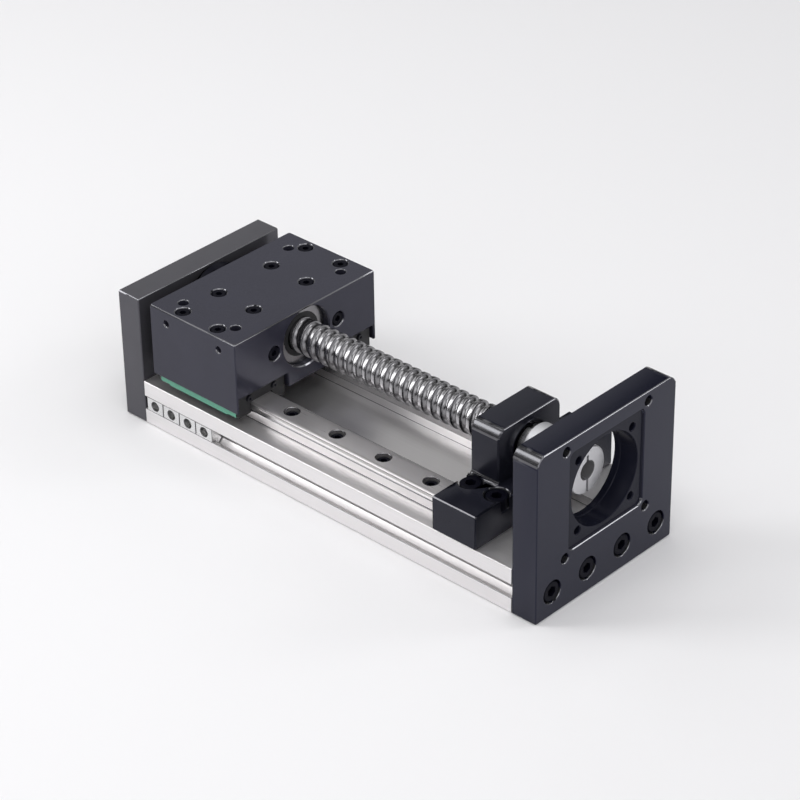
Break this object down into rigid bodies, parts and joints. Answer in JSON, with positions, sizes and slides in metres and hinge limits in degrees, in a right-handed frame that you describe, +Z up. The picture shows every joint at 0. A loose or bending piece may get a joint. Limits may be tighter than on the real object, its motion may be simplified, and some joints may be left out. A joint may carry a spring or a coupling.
{
  "type": "ball screw linear module",
  "caption": "Compact linear actuator: a carriage block on two rails over an extruded base, driven by a ball screw through a coupling behind a motor plate.",
  "frame": {"origin": "middle of the bounding box's lower face, on the base's underside", "axes": "+X along the screw towards the motor plate, +Y across to the right-hand side, +Z up"},
  "size_m": [0.224, 0.08, 0.0735],
  "materials": {
    "black_anodised": "satin, black anodised",
    "clear_anodised": "satin, clear anodised",
    "ground_steel": "ground",
    "polished_steel": "polished",
    "black_steel": "black oxide",
    "green_plastic": "satin, moulded",
    "seal_rubber": "matt",
    "nickel_steel": "nickel plated",
    "spider_rubber": "matt"
  },
  "bodies": {
    "base": {"base_profile": "clear_anodised", "end_plate": "black_anodised", "motor_plate": "black_anodised", "end_plate_screws": "black_steel", "motor_plate_screws": "black_steel", "left_rail": "ground_steel", "right_rail": "ground_steel", "rail_screws": "black_steel", "bearing_block": "black_anodised", "bearing_block_screws": "black_steel", "fixed_bearing_outer_rings": "polished_steel", "fixed_bearing_balls": "polished_steel", "housing_circlip": "black_steel", "floating_bearing_outer_ring": "polished_steel", "floating_bearing_balls": "polished_steel"},
    "carriage": {"carriage_block": "black_anodised", "carriage_screws": "black_steel", "left_runner_body": "ground_steel", "right_runner_body": "ground_steel", "left_runner_frame": "green_plastic", "right_runner_frame": "green_plastic", "left_runner_seals": "seal_rubber", "right_runner_seals": "seal_rubber", "seal_screws": "nickel_steel", "left_runner_balls": "polished_steel", "right_runner_balls": "polished_steel", "ball_nut": "polished_steel", "nut_screws": "black_steel", "nut_wipers": "seal_rubber", "nut_balls": "polished_steel", "ball_deflectors": "polished_steel"},
    "screw": {"ball_screw": "polished_steel", "fixed_bearing_inner_rings": "polished_steel", "spacer_ring": "polished_steel", "lock_nut": "nickel_steel", "floating_bearing_inner_ring": "polished_steel", "journal_circlip": "black_steel", "coupling_screw_hub": "clear_anodised", "coupling_motor_hub": "clear_anodised", "coupling_spider": "spider_rubber", "coupling_clamp_screws": "black_steel"},
    "t_nuts": {"t_nuts": "nickel_steel"}
  },
  "joints": [
    {"name": "screw_spin", "type": "hinge", "parent": "base", "child": "screw", "pos_m": [0, 0, 0.0455], "axis": [-1, 0, 0], "range_deg": [0, 7200]},
    {"name": "carriage_slide", "type": "slide", "parent": "base", "child": "carriage", "axis": [1, 0, 0], "range_m": [0, 0.1]},
    {"name": "t_nut_slide", "type": "slide", "parent": "base", "child": "t_nuts", "axis": [1, 0, 0], "range_m": [0, 0.16]}
  ],
  "couplings": [
    {"joint": "screw_spin", "follows": "carriage_slide", "rad_per_m": 1256.6}
  ]
}
